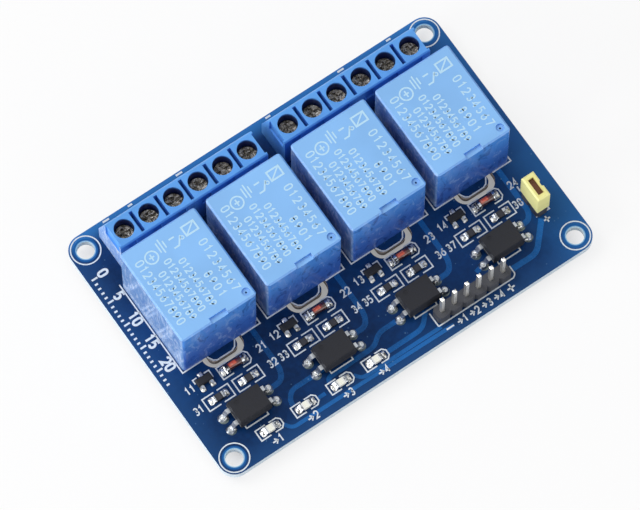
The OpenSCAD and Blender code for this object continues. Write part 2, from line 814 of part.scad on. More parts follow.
// Chip part on its two soldered ends
module chip(body_h) {
    reach = 0.75;
    translate([0, 0, pad_t]) bevelled_block(chip_l, chip_w, body_h, 0.05);
    for (side = [0, 180]) rotate([0, 0, side]) {
        translate([chip_l / 2 - 0.35, -chip_w / 2, 0]) cube([0.35, chip_w, body_h / 2]);
        translate([chip_l / 2 - eps, 0, 0]) solder_wedge(reach, chip_w, body_h * 0.8);
    }
}

module resistors() {
    color([0.22, 0.22, 0.24]) for (x = resistor_x) at_driver(x, resistor_y) chip(0.5);
}

module indicator_lamps() {
    color([0.95, 0.95, 0.92]) for (k = [0 : channels - 1])
        translate([lamp_at(k), -board_w / 2 + lamp_inset, board_top]) chip(0.8);
}

pcb();
solder_joints();
for (i = [0 : channels - 1]) {
    relay_case(i);
    relay_base(i);
    relay_armature(i);
}
relay_bobbins();
relay_windings();
relay_cores();
relay_yokes();
relay_contacts();
relay_coil_pins();
for (b = [0 : blocks - 1])
    terminal_block(b);
terminal_bars();
for (k = [0 : poles - 1]) {
    clamp_screw(k);
    clamp_cage(k);
}
input_strip();
jumper_strip();
header_pins();
jumper_cap();
jumper_clip();
optocouplers();
transistors();
diodes();
resistors();
indicator_lamps();
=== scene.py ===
"""Surfaces, print, solder and stage for a four-channel relay board.

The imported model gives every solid. This script dresses them, adds what lies on their
surfaces, and sets the floor, the lamps and the camera.
"""

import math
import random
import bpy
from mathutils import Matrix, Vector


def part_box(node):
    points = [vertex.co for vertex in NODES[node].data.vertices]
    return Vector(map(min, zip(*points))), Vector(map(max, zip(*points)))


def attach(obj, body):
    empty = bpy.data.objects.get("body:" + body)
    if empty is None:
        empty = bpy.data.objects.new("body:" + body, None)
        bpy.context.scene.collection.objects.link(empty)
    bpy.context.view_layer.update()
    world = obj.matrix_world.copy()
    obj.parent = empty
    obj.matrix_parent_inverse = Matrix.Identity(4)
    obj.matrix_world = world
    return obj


bl_info = {
    "name": "Relay Board Finishes",
    "version": (1, 0, 0),
    "blender": (4, 5, 0),
    "location": "View3D > Sidebar > Relay Board",
    "description": "Finishes, printed legend, solder and stage for a relay board",
    "category": "Object",
}

import bpy
from bpy.props import FloatProperty, FloatVectorProperty, PointerProperty
from mathutils import Vector

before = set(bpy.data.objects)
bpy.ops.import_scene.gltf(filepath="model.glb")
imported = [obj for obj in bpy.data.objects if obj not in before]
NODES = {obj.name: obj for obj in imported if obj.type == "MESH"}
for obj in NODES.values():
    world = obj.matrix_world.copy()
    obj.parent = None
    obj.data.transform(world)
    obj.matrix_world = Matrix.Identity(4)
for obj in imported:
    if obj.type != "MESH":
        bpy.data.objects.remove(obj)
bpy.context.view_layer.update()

MM = 0.001
CHANNELS = 4
CHANNEL_PITCH = 17.5
POLES = 12
POLE_PITCH = 5.08
GROUP_SHIFT = 1.69
PIN_PITCH = 2.54
INPUT_PINS = 6
LAMP_PITCH = 7.3


def box_mm(node):
    """Lowest and highest corner of a node, in millimetres."""
    low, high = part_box(node)
    return Vector(low) / MM, Vector(high) / MM


BOARD_TOP = box_mm("pcb")[1].z
CASE_LOW, CASE_HIGH = box_mm("relay_case_1")
CASE_TOP = CASE_HIGH.z
CASE_FRONT = CASE_LOW.y
STRIP_LOW = box_mm("input_strip")[0]
OPTO_LOW, OPTO_HIGH = box_mm("optocouplers")
SCREW_LOW, SCREW_HIGH = box_mm("clamp_screw_1")
SCREW_ROW = (SCREW_LOW.y + SCREW_HIGH.y) / 2
BLOCK_LOW, BLOCK_HIGH = box_mm("terminal_block_1")

# Where the corner holes are, and the small parts from the middle of their channel
HOLE_X, HOLE_Y = 35.5, 22.75
OPTO_X = -2.25
TRANSISTOR_X, TRANSISTOR_Y = -5.75, -8.4
DIODE_X, DIODE_FEET_Y = 0.1, -8.9
RESISTOR_X, RESISTOR_FEET_Y = (0.8, -5.35), -12.25
FIRST_LAMP_X, LAMP_FEET_Y = -27.55, -21.95


def channel_x(i):
    return (i - (CHANNELS - 1) / 2) * CHANNEL_PITCH


def srgb(r, g, b):
    """A colour given as 0 to 255 on the usual display scale."""
    return tuple(((v / 255 + 0.055) / 1.055) ** 2.4 if v > 10 else v / 255 / 12.92 for v in (r, g, b))


# ---- shader maths ----


class Value:
    """A socket that takes part in Python sums. Each operation adds its Math node."""

    def __init__(self, graph, socket):
        self.graph = graph
        self.socket = socket

    def math(self, operation, *others):
        sockets = {n: v for n, v in enumerate((self,) + others)}
        return self.graph.add("ShaderNodeMath", {"operation": operation}, sockets)

    def __add__(self, other):
        return self.math("ADD", other)

    __radd__ = __add__

    def __mul__(self, other):
        return self.math("MULTIPLY", other)

    __rmul__ = __mul__

    def __sub__(self, other):
        return self.math("SUBTRACT", other)

    def __rsub__(self, other):
        return self.graph.add("ShaderNodeMath", {"operation": "SUBTRACT"}, {0: other, 1: self})

    def __truediv__(self, other):
        return self.math("DIVIDE", other)

    def __pow__(self, other):
        return self.math("POWER", other)

    def __abs__(self):
        return self.math("ABSOLUTE")

    def __lt__(self, other):
        return self.math("LESS_THAN", other)

    def __gt__(self, other):
        return self.math("GREATER_THAN", other)

    def least(self, other):
        return self.math("MINIMUM", other)

    def most(self, other):
        return self.math("MAXIMUM", other)

    def step(self, start, end):
        """0 below start, 1 above end and smooth between; start may be the larger one."""
        return self.graph.add(
            "ShaderNodeMapRange",
            {"interpolation_type": "SMOOTHSTEP"},
            {"Value": self, "From Min": start, "From Max": end},
        )

    def repeat(self, pitch, middle=0.0):
        """Distance from the nearest of the places that repeat at pitch from middle."""
        shifted = (self - (middle - pitch / 2)) / pitch
        return (shifted - shifted.math("FLOOR") - 0.5) * pitch


class Graph:
    """A node tree, with one way to add a node to it."""

    def __init__(self, tree):
        self.tree = tree

    def set(self, socket, value):
        if isinstance(value, Value):
            self.tree.links.new(value.socket, socket)
        elif hasattr(socket.default_value, "__len__"):
            size = len(socket.default_value)
            value = tuple(value) if hasattr(value, "__len__") else (value,) * 3
            socket.default_value = (value + (1.0,))[:size]
        else:
            socket.default_value = value

    def add(self, kind, settings=None, sockets=None, out=0):
        """Adds a node: its settings, then the values or links of its sockets. Gives its output."""
        node = self.tree.nodes.new(kind)
        for key, value in (settings or {}).items():
            setattr(node, key, value)
        for key, value in (sockets or {}).items():
            self.set(node.inputs[key], value)
        return Value(self, node.outputs[out])

    def find(self, kind):
        return next(n for n in self.tree.nodes if n.type == kind)

    def ray(self, name):
        """1 for the named kind of ray and 0 for the others."""
        return self.add("ShaderNodeLightPath", out=name)

    def blend(self, mask, low, high):
        """Shader low where mask is 0, high where it is 1."""
        return self.add("ShaderNodeMixShader", None, {0: mask, 1: low, 2: high})


class Finish(Graph):
    """One material, built from a Principled shader."""

    def __init__(self, name):
        self.material = bpy.data.materials.new(name)
        self.material.use_nodes = True
        super().__init__(self.material.node_tree)
        self.shader = self.find("BSDF_PRINCIPLED")

    def place(self):
        """Where the point is on the object, in millimetres."""
        point = self.add("ShaderNodeTexCoord", out="Object")
        return self.add("ShaderNodeVectorMath", {"operation": "SCALE"}, {0: point, "Scale": 1 / MM})

    def axes(self, vector):
        """The three parts of a vector."""
        node = self.add("ShaderNodeSeparateXYZ", None, {0: vector}).socket.node
        return [Value(self, socket) for socket in node.outputs]

    def facing(self):
        """The three parts of the surface's own direction."""
        return self.axes(self.add("ShaderNodeNewGeometry", out="True Normal"))

    def stretch(self, vector, scale):
        """The same place with each axis scaled, which draws a pattern out along an axis."""
        return self.add("ShaderNodeVectorMath", {"operation": "MULTIPLY"}, {0: vector, 1: scale})

    def noise(self, vector, scale, detail=3.0, rough=0.55, warp=0.0):
        return self.add(
            "ShaderNodeTexNoise",
            None,
            {"Vector": vector, "Scale": scale, "Detail": detail, "Roughness": rough, "Distortion": warp},
        )

    def cells(self, vector, scale):
        """Distance from the middle of the nearest cell."""
        return self.add("ShaderNodeTexVoronoi", None, {"Vector": vector, "Scale": scale}, "Distance")

    def mix(self, low, high, mask):
        """Colour low where mask is 0, high where it is 1."""
        return self.add(
            "ShaderNodeMix",
            {"data_type": "RGBA", "clamp_factor": True},
            {0: mask, 6: low, 7: high},
            2,
        )

    def bump(self, height, depth, strength=1.0):
        """Height from 0 to 1 over depth in millimetres."""
        sockets = {"Height": height, "Distance": depth * MM, "Strength": strength}
        return self.add("ShaderNodeBump", None, sockets)

    def build(self, **parts):
        """Sets the shader's sockets. Underscores stand for spaces in their names."""
        for key, value in parts.items():
            self.set(self.shader.inputs[key.replace("_", " ")], value)
        return self.material


# ---- meshes ----


class Sheet:
    """Thin flat shapes gathered into one mesh, in millimetres."""

    def __init__(self):
        self.points = []
        self.faces = []

    def prism(self, outline, low, high):
        """A closed outline, anticlockwise, between two heights."""
        base = len(self.points)
        n = len(outline)
        self.points += [(x, y, low) for x, y in outline] + [(x, y, high) for x, y in outline]
        self.faces.append(tuple(base + n + i for i in range(n)))
        self.faces.append(tuple(base + i for i in reversed(range(n))))
        for i in range(n):
            j = (i + 1) % n
            self.faces.append((base + i, base + j, base + n + j, base + n + i))

    def ribbon(self, path, width, low, high, closed=False):
        """A line of even width with mitred corners."""
        n = len(path)
        points = [Vector(p) for p in path]
        left, right = [], []
        for i, p in enumerate(points):
            before = points[i - 1] if closed or i else None
            after = points[(i + 1) % n] if closed or i < n - 1 else None
            a = (p - before).normalized() if before is not None else (after - p).normalized()
            b = (after - p).normalized() if after is not None else a
            across = Vector((-(a.y + b.y), a.x + b.x))
            across = across.normalized() if across.length > 1e-6 else Vector((-a.y, a.x))
            reach = width / 2 / max(0.4, across.dot(Vector((-a.y, a.x))))
            left.append(p + across * reach)
            right.append(p - across * reach)
        base = len(self.points)
        for z in (low, high):
            self.points += [(v.x, v.y, z) for v in left] + [(v.x, v.y, z) for v in right]
        bottom_l, bottom_r, top_l, top_r = (base + n * k for k in range(4))
        for i in range(n if closed else n - 1):
            j = (i + 1) % n
            self.faces.append((top_l + i, top_r + i, top_r + j, top_l + j))
            self.faces.append((bottom_l + j, bottom_r + j, bottom_r + i, bottom_l + i))
            self.faces.append((top_l + j, bottom_l + j, bottom_l + i, top_l + i))
            self.faces.append((top_r + i, bottom_r + i, bottom_r + j, top_r + j))
        if not closed:
            self.faces.append((top_l, bottom_l, bottom_r, top_r))
            k = n - 1
            self.faces.append((top_r + k, bottom_r + k, bottom_l + k, top_l + k))

    def disc(self, x, y, radius, low, high, sides=24):
        self.prism(arc(x, y, radius, 0, 360, sides)[:-1], low, high)

    def build(self, name, material, slot, smooth=False):
        """Makes the piece, which rides on the board."""
        mesh = bpy.data.meshes.new(name)
        mesh.from_pydata([tuple(c * MM for c in p) for p in self.points], [], self.faces)
        mesh.materials.append(material)
        if smooth:
            mesh.shade_smooth()
        mesh.validate()
        piece = bpy.data.objects.new(name, mesh)
        bpy.context.scene.collection.objects.link(piece)
        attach(piece, "board")


def arc(x, y, radius, start, end, steps=12):
    """Points on a circle, angles in degrees."""
    return [
        (
            x + radius * math.cos(math.radians(start + (end - start) * i / steps)),
            y + radius * math.sin(math.radians(start + (end - start) * i / steps)),
        )
        for i in range(steps + 1)
    ]


def rounded(path, radius, steps=5):
    """The same open path with round corners."""
    points = [Vector(p) for p in path]
    out = [points[0]]
    for before, corner, after in zip(points, points[1:], points[2:]):
        a, b = before - corner, after - corner
        reach = min(radius, a.length / 2.01, b.length / 2.01)
        start, end = corner + a.normalized() * reach, corner + b.normalized() * reach
        for i in range(steps + 1):
            t = i / steps
            out.append(start * (1 - t) ** 2 + corner * 2 * t * (1 - t) + end * t**2)
    return [tuple(p) for p in out + [points[-1]]]


# Each digit is a few lines in a box one wide and DIGIT_HEIGHT high
DIGIT_HEIGHT = 1.6
DIGITS = {
    0: [arc(0.5, 0.5, 0.5, 0, -180, 8) + arc(0.5, 1.1, 0.5, 180, 0, 8) + [(1, 0.5)]],
    1: [[(0.15, 1.2), (0.55, 1.6), (0.55, 0)]],
    2: [arc(0.5, 1.1, 0.5, 170, 0, 8) + [(0.95, 0.85), (0.05, 0.0), (1.0, 0.0)]],
    3: [arc(0.5, 1.18, 0.42, 150, -80, 8) + arc(0.5, 0.42, 0.46, 80, -150, 8)],
    4: [[(1.0, 0.45), (0.0, 0.45), (0.75, 1.6), (0.75, 0.0)]],
    5: [[(0.95, 1.6), (0.15, 1.6), (0.1, 0.9)] + arc(0.45, 0.52, 0.5, 110, -140, 10)],
    6: [[(0.85, 1.55)] + arc(0.5, 0.5, 0.5, 170, -180, 14)],
    7: [[(0.0, 1.6), (1.0, 1.6), (0.35, 0.0)]],
    8: [arc(0.5, 1.2, 0.4, -90, 270, 12), arc(0.5, 0.4, 0.46, 90, 450, 12)],
    9: [[(0.15, 0.05)] + arc(0.5, 1.1, 0.5, -10, 340, 14)],
}


def number(sheet, text, x, y, height, low, high, turn, width, slim, pitch):
    """Plain digits as lines of a width, from their lower left corner. Turn is in degrees,
    slim narrows each digit, and pitch is from digit to digit for a height of DIGIT_HEIGHT."""
    scale = height / DIGIT_HEIGHT
    c, s = math.cos(math.radians(turn)), math.sin(math.radians(turn))
    for place, digit in enumerate(str(text)):
        for path in DIGITS[int(digit)]:
            moved = []
            for px, py in path:
                u, v = (px * slim + place * pitch) * scale, py * scale
                moved.append((x + u * c - v * s, y + u * s + v * c))
            sheet.ribbon(moved, width, low, high)


# ---- settings ----


def colour_property(name, description, default):
    return FloatVectorProperty(
        name=name, description=description, subtype="COLOR", size=3, min=0.0, max=1.0, default=default
    )


def length_property(name, description, default):
    return FloatProperty(
        name=name, description=description, unit="LENGTH", subtype="DISTANCE", min=0.0, default=default
    )


class BoardSettings(bpy.types.PropertyGroup):
    """Colours of the board and its print."""

    mask: colour_property("Mask", "Colour of the solder mask", srgb(12, 54, 106))
    track: colour_property("Track", "Colour of the mask over copper", srgb(24, 92, 160))
    edge: colour_property("Edge", "Colour of the cut laminate", srgb(216, 230, 240))
    ink: colour_property("Ink", "Colour of the printed legend", srgb(225, 233, 240))
    line: length_property("Line", "Width of the printed lines", 0.24 * MM)
    ink_depth: length_property("Ink depth", "Thickness of the print", 0.02 * MM)


class PlasticSettings(bpy.types.PropertyGroup):
    """Colours of the moulded parts."""

    case: colour_property("Relay case", "Colour of the relay cases", srgb(136, 190, 246))
    # Painted shade: the case walls darken to this colour near the board.
    case_deep: colour_property("Case wall", "Colour deep in a case wall", srgb(62, 108, 205))
    base: colour_property("Relay base", "Colour of the relay bases", srgb(44, 84, 170))
    block: colour_property("Terminal", "Colour of the terminal blocks", srgb(100, 170, 244))
    strip: colour_property("Strip", "Colour of the header strips", srgb(46, 48, 56))
    cap: colour_property("Jumper", "Colour of the jumper cap", srgb(246, 236, 150))
    package: colour_property("Package", "Colour of the moulded packages", srgb(40, 41, 46))


class MetalSettings(bpy.types.PropertyGroup):
    """Colours of the metal parts."""

    solder: colour_property("Solder", "Colour of solder", srgb(205, 210, 215))
    screw: colour_property("Screw", "Colour of the clamp screws", srgb(206, 200, 188))
    pin: colour_property("Pin", "Colour of the header pins", srgb(250, 248, 240))
    brass: colour_property("Brass", "Colour of the contacts", srgb(210, 170, 100))
    winding: colour_property("Winding", "Colour of the wire", srgb(196, 92, 40))
    iron: colour_property("Iron", "Colour of yokes and armatures", srgb(170, 175, 182))


def power_property(name, description, default):
    return FloatProperty(name=name, description=description, unit="POWER", min=0.0, default=default)


def angle_property(name, description, degrees):
    return FloatProperty(
        name=name, description=description, subtype="ANGLE", default=math.radians(degrees)
    )


class StageSettings(bpy.types.PropertyGroup):
    """Floor, lamps and camera."""

    floor: colour_property("Floor", "Colour of the floor", (0.94, 0.94, 0.95))
    world: FloatProperty(name="World", description="Strength of the light all round", min=0.0, default=0.5)
    key: power_property("Key", "Power of the lamp above", 4.6)
    side: power_property("Side", "Power of the lamp at the left", 5.6)
    front: power_property("Front", "Power of the lamp in front", 2.0)
    azimuth: angle_property("Azimuth", "Camera's turn round the board", -34.49)
    elevation: angle_property("Elevation", "Camera's height as an angle", 70.24)
    distance: length_property("Distance", "Distance of the camera", 1.1014)
    lens: FloatProperty(name="Lens", description="Focal length in millimetres", min=1.0, default=360.1)
    aim: FloatVectorProperty(
        name="Aim",
        description="Point that the camera looks at",
        subtype="TRANSLATION",
        default=(-0.002746, -0.000791, 0.0034),
    )


class RelayBoardSettings(bpy.types.PropertyGroup):
    """All settings of the relay board."""

    board: PointerProperty(type=BoardSettings)
    plastic: PointerProperty(type=PlasticSettings)
    metal: PointerProperty(type=MetalSettings)
    stage: PointerProperty(type=StageSettings)


def settings():
    return bpy.context.scene.relay_board


def dress(material, *names):
    """Gives nodes a material in place of the plain one that they came with."""
    for name in names:
        for slot in NODES[name].material_slots:
            slot.material = material


def numbered(name, count):
    return ["%s_%d" % (name, i + 1) for i in range(count)]


# ---- finishes ----


def mask_finish(name, colour):
    """Solder mask: deep colour with slow clouds, fine pits and pale specks of dust. Painted light makes it
    paler at the rim, along the back strip and towards the right end.
    """
    f = Finish(name)
    place = f.place()
    x, y, _ = f.axes(place)
    cloud = f.noise(place, 0.07, 2.0)
    grain = f.noise(place, 3.5, 4.0, 0.65)
    mottle = f.noise(place, 0.9, 4.0, 0.6)
    dust = f.cells(place, 0.75).step(0.13, 0.07) * f.noise(place, 0.3, 2.0).step(0.5, 0.6)
    deep = tuple(c * 0.55 for c in colour)
    light = tuple(c * 1.2 for c in colour)
    base = f.mix(deep, light, cloud.step(0.3, 0.7) * 0.6 + mottle.step(0.3, 0.75) * 0.4)
    # Painted light: the mask is painted paler towards the rim of the board.
    painted_rim_light = (abs(x).step(33.0, 38.5)).most((abs(y)).step(21.0, 25.8))
    base = f.mix(base, tuple(c * 1.35 + a for c, a in zip(colour, (0.01, 0.02, 0.02))), painted_rim_light * 0.7)
    # Painted light: the back strip and the right end are painted paler still.
    pale = y.step(22.5, 25.6).most(x.step(27.0, 38.0) * 0.5)
    base = f.mix(base, tuple(c * 2.6 + a for c, a in zip(colour, (0.02, 0.08, 0.12))), pale)
    base = f.mix(base, srgb(120, 165, 200), dust * 0.4)
    return f, place, x, y, base, grain


def board_finish():
    """Mask on the faces, copper lands round the holes with a painted highlight at their lip, cut laminate on
    the edges and in the slots.
    """
    s = settings().board
    f, place, x, y, base, grain = mask_finish("solder_mask", tuple(s.mask))
    side = abs(f.facing()[2]).step(0.6, 0.4)
    weave = f.noise(f.stretch(place, (0.4, 0.4, 6.0)), 2.2, 3.0)
    edge = f.mix(tuple(s.edge), tuple(c * 0.75 for c in s.edge), weave.step(0.35, 0.65))
    inner = (abs(x) < 37.5) * (abs(y) < 20.0)
    edge = f.mix(edge, f.mix(srgb(226, 214, 204), srgb(176, 166, 158), weave.step(0.35, 0.65)), inner)
    hole = abs(abs(x) - HOLE_X) ** 2.0 + abs(abs(y) - HOLE_Y) ** 2.0
    land = hole.step(4.7, 4.2)
    # Painted highlight: a pale ring at the lip of each hole, inside the copper land.
    lit = f.mix(tuple(s.track), srgb(150, 196, 226), hole.step(3.5, 2.7))
    base = f.mix(base, lit, land)
    base = f.mix(base, edge, side)
    f.build(
        Base_Color=base,
        Roughness=0.24 + grain * 0.12 + side * 0.35,
        Specular_IOR_Level=0.12,
        Normal=f.bump(grain, 0.008, 0.4),
    )
    return f.material


def track_finish():
    """Mask where it lies over copper."""
    s = settings().board
    f, _, _, _, base, grain = mask_finish("mask_over_copper", tuple(s.track))
    f.build(
        Base_Color=base,
        Roughness=0.22 + grain * 0.12,
        Specular_IOR_Level=0.15,
        Normal=f.bump(grain, 0.008, 0.4),
    )
    return f.material


def ink_finish(name, colour, wear=0.25):
    """Thin opaque print, a little worn."""
    f = Finish(name)
    place = f.place()
    patch = f.noise(place, 2.6, 4.0, 0.7)
    fine = f.noise(place, 14.0, 2.0)
    base = f.mix(tuple(colour), tuple(c * (1 - wear) for c in colour), patch.step(0.45, 0.75))
    f.build(Base_Color=base, Roughness=0.5 + fine * 0.2, Normal=f.bump(fine, 0.004, 0.4))
    return f.material


def metal_finish(name, colour, rough=0.28, grain=9.0, tarnish=0.25, depth=0.01):
    """Bright metal with uneven polish and a little tarnish."""
    f = Finish(name)
    place = f.place()
    patch = f.noise(place, grain * 0.22, 4.0, 0.6)
    fine = f.noise(place, grain, 3.0)
    dark = tuple(c * (1 - tarnish) for c in colour)
    base = f.mix(tuple(colour), dark, patch.step(0.4, 0.75))
    f.build(
        Base_Color=base,
        Metallic=1.0,
        Roughness=rough + patch * 0.16,
        Normal=f.bump(fine, depth, 0.6),
    )
    return f.material


def plastic_finish(name, colour, rough=0.35, grain=7.0, shade=0.85):
    """Moulded plastic: fine grain, faint flow marks and painted highlights on the sharp edges."""
    f = Finish(name)
    place = f.place()
    flow = f.noise(place, 0.35, 3.0)
    fine = f.noise(place, grain, 3.0)
    # Painted highlight: sharp convex edges are painted paler.
    painted_edge_highlight = f.add("ShaderNodeNewGeometry", out="Pointiness").step(0.52, 0.6)
    base = f.mix(tuple(c * shade for c in colour), tuple(colour), flow.step(0.35, 0.65))
    base = f.mix(base, tuple(min(1.0, c * 1.3 + 0.03) for c in colour), painted_edge_highlight * 0.5)
    f.build(
        Base_Color=base,
        Roughness=rough + fine * 0.12,
        Normal=f.bump(fine, 0.01, 0.5),
    )
    return f.material


def case_finish():
    """Translucent relay case: fine matt top, glossy walls that let the works show faintly. The walls carry
    painted shade towards the board and painted reflections in pale streaks on their left faces.
    """
    s = settings().plastic
    f = Finish("relay_case_plastic")
    place = f.place()
    z = f.axes(place)[2]
    nx, _, nz = f.facing()
    top = nz.step(0.55, 0.9)
    left = nx.step(-0.5, -0.9)
    fine = f.noise(place, 11.0, 3.0)
    blotch = f.noise(f.stretch(place, (1.0, 1.0, 0.5)), 0.5, 4.0, 0.65, 0.8)
    painted_reflection_streak = f.noise(f.stretch(place, (1.0, 1.0, 0.3)), 0.8, 4.0, 0.6, 1.5)
    # Painted shade: the walls darken towards the board.
    height = z.step(BOARD_TOP, CASE_TOP)
    wall = f.mix(tuple(s.case_deep), srgb(84, 156, 246), height * height)
    wall = f.mix(wall, srgb(150, 190, 246), blotch.step(0.54, 0.68) * 0.45)
    wall = f.mix(wall, srgb(24, 50, 122), blotch.step(0.46, 0.34) * 0.5)
    # Painted reflection: the left faces are painted pale with streaks.
    pale = f.mix(srgb(122, 162, 216), srgb(184, 206, 238), painted_reflection_streak.step(0.44, 0.66))
    pale = f.mix(pale, srgb(100, 140, 206), blotch.step(0.47, 0.36) * 0.5)
    wall = f.mix(wall, pale, left * 0.9)
    sheen = f.noise(place, 0.1, 2.0)
    bright = tuple(min(1.0, c * 1.04) for c in s.case)
    lid = f.mix(tuple(c * 0.94 for c in s.case), bright, sheen.step(0.3, 0.7))
    base = f.mix(wall, lid, top)
    f.build(
        Base_Color=base,
        Roughness=0.14 + top * 0.3 + fine * 0.06,
        Specular_IOR_Level=0.45,
        Alpha=0.88 + top.most(left * 0.75) * 0.12,
        Normal=f.bump(fine, 0.012, 0.5),
    )
    return f.material


def from_pole(x, y):
    """Distance from the middle of the nearest clamp screw."""
    side = (x > 0) * (2 * GROUP_SHIFT) - GROUP_SHIFT
    along = (x - side).repeat(POLE_PITCH, POLE_PITCH / 2)
    across = y - SCREW_ROW
    return (along * along + across * across) ** 0.5


def block_finish():
    """Terminal plastic: bright top, painted shade lower down and in the screw recesses, painted reflections
    on the left end.
    """
    s = settings().plastic
    f = Finish("terminal_plastic")
    place = f.place()
    x, y, z = f.axes(place)
    nx = f.facing()[0]
    flow = f.noise(place, 0.3, 3.0)
    fine = f.noise(place, 8.0, 3.0)
    base = f.mix(tuple(c * 0.92 for c in s.block), tuple(s.block), flow.step(0.35, 0.65))
    # Painted shade: the screw recesses are painted dark.
    sunk = z.step(BLOCK_HIGH.z - 0.02, BLOCK_HIGH.z - 0.9)
    painted_recess_shade = from_pole(x, y).step(1.84, 1.8) * sunk
    deep = srgb(24, 46, 104)
    # Painted shade: the sides darken towards the bottom.
    base = f.mix(base, tuple(c * 0.5 for c in s.block), z.step(BLOCK_HIGH.z - 0.2, BLOCK_LOW.z) * 0.7)
    base = f.mix(base, deep, painted_recess_shade)
    # Painted reflection: the left end is painted pale in a crumpled pattern.
    left = nx.step(-0.5, -0.9) * (x < (BLOCK_LOW.x + 0.3))
    crumple = f.noise(f.stretch(place, (1.0, 1.0, 0.25)), 1.3, 5.0, 0.7, 1.8)
    painted_left_reflection = f.mix(srgb(120, 160, 224), srgb(206, 220, 244), crumple.step(0.44, 0.62))
    base = f.mix(base, painted_left_reflection, left * 0.85)
    f.build(
        Base_Color=base,
        Roughness=0.34 + fine * 0.1,
        Specular_IOR_Level=0.3,
        Normal=f.bump(fine, 0.01, 0.5),
    )
    return f.material


def screw_finish():
    """Plated screw: machining rings, darker in the low places of the bump, with painted glints and painted
    dark reflections in specks.
    """
    m = settings().metal
    f = Finish("screw_metal")
    place = f.place()
    x, y, _ = f.axes(place)
    rings = (from_pole(x, y) * 26.0).math("SINE") * 0.5 + 0.5
    patch = f.noise(place, 1.5, 4.0, 0.7, 0.8)
    painted_glint_fleck = f.noise(place, 3.2, 3.0, 0.7, 0.6)
    # Darker where the bump is low.
    base = f.mix(srgb(96, 88, 74), tuple(m.screw), patch.step(0.42, 0.6))
    # Painted highlight: bright glints in specks.
    base = f.mix(base, srgb(250, 248, 244), painted_glint_fleck.step(0.55, 0.62))
    # Painted reflection: dark specks beside the glints.
    base = f.mix(base, srgb(40, 36, 34), painted_glint_fleck.step(0.44, 0.38) * 0.85)
    f.build(
        Base_Color=base,
        Metallic=0.8,
        Roughness=0.2 + patch * 0.25,
        Normal=f.bump(rings * 0.3 + patch, 0.16, 0.9),
    )
    return f.material


def package_finish():
    """Moulded optocouplers and transistors whose leads and blobs are bright metal."""
    s = settings().plastic
    m = settings().metal
    f = Finish("moulded_package")
    place = f.place()
    x, y, _ = f.axes(place)
    near = abs(x.repeat(CHANNEL_PITCH, channel_x(0) + OPTO_X))
    opto_row = y < (OPTO_HIGH.y + 0.6)
    leads_opto = near.step(3.22, 3.27) * opto_row
    leads_transistor = abs(y - TRANSISTOR_Y).step(0.66, 0.69) * (1 - opto_row)
    metal = leads_opto.most(leads_transistor)
    fine = f.noise(place, 9.0, 3.0)
    patch = f.noise(place, 1.6, 3.0)
    pale = tuple(c * 1.2 for c in s.package)
    body = f.mix(tuple(c * 0.85 for c in s.package), pale, fine.step(0.3, 0.7))
    bright = f.mix(tuple(m.solder), tuple(c * 0.7 for c in m.solder), patch.step(0.4, 0.7))
    f.build(
        Base_Color=f.mix(body, bright, metal),
        Metallic=metal,
        Roughness=0.55 - metal * 0.3 + fine * 0.1,
        Specular_IOR_Level=0.25,
        Normal=f.bump(patch, 0.03, 0.6),
    )
    return f.material


def diode_finish():
    """Glass diode: orange glass with a painted highlight along its middle and painted shade towards its
    sides, between tinned caps.
    """
    m = settings().metal
    f = Finish("glass_diode")
    place = f.place()
    x, y, _ = f.axes(place)
    low, high = box_mm("diodes")
    along = x.repeat(CHANNEL_PITCH, channel_x(0) + DIODE_X)
    across = y - (low.y + high.y) / 2
    caps = abs(along).step(1.27, 1.31)
    painted_highlight_band = abs(across - 0.1).step(0.55, 0.2) * abs(along + 0.4).step(0.85, 0.55)
    glow = f.noise(f.stretch(place, (0.7, 1.6, 1.6)), 1.6, 3.0)
    # Painted shade: the glass darkens away from the middle line.
    glass = f.mix(srgb(120, 40, 30), srgb(56, 26, 28), abs(across).step(0.2, 0.7))
    # Painted highlight: a bright orange band along the middle.
    glass = f.mix(glass, f.mix(srgb(240, 96, 60), srgb(250, 170, 140), glow.step(0.45, 0.7)), painted_highlight_band)
    glass = f.mix(glass, srgb(70, 34, 30), along.step(0.55, 0.85))
    patch = f.noise(place, 1.5, 4.0, 0.7, 0.7)
    bright = f.mix(srgb(70, 68, 72), tuple(m.solder), patch.step(0.42, 0.56))
    f.build(
        Base_Color=f.mix(glass, bright, caps),
        Metallic=caps,
        Roughness=0.08 + caps * 0.16,
        Coat_Weight=0.7 - caps * 0.7,
        Normal=f.bump(patch, 0.05, 0.5),
    )
    return f.material


def chip_finish(name, body, lens, pitch, middle, places):
    """Chip part: body between two tinned ends. Places are the offsets of the chips in a pitch."""
    m = settings().metal
    f = Finish(name)
    place = f.place()
    x = f.axes(place)[0]
    along = None
    for offset in places:
        near = abs(x.repeat(pitch, middle + offset))
        along = near if along is None else along.least(near)
    ends = along.step(0.63, 0.67)
    mark = along.step(0.42, 0.38)
    fine = f.noise(place, 10.0, 3.0)
    colour = f.mix(tuple(body), tuple(lens), mark)
    colour = f.mix(colour, tuple(c * 0.8 for c in body), fine.step(0.5, 0.8) * 0.4)
    lump = f.noise(place, 1.7, 4.0, 0.7, 0.6)
    bright = f.mix(tuple(m.solder), srgb(84, 82, 84), lump.step(0.5, 0.62))
    f.build(
        Base_Color=f.mix(colour, bright, ends),
        Metallic=ends,
        Roughness=0.4 - ends * 0.16,
        Normal=f.bump(lump, 0.05, 0.6),
    )
    return f.material


# ---- operators ----


class DressBoard(bpy.types.Operator):
    """Solder mask on the board, with its cut edges, and bright solder below"""

    bl_idname = "relay_board.dress_board"
    bl_label = "Dress Board"

    def execute(self, context):
        dress(board_finish(), "pcb")
        dress(metal_finish("solder", tuple(settings().metal.solder), 0.24, 6.0, 0.2), "solder_joints")
        return {"FINISHED"}


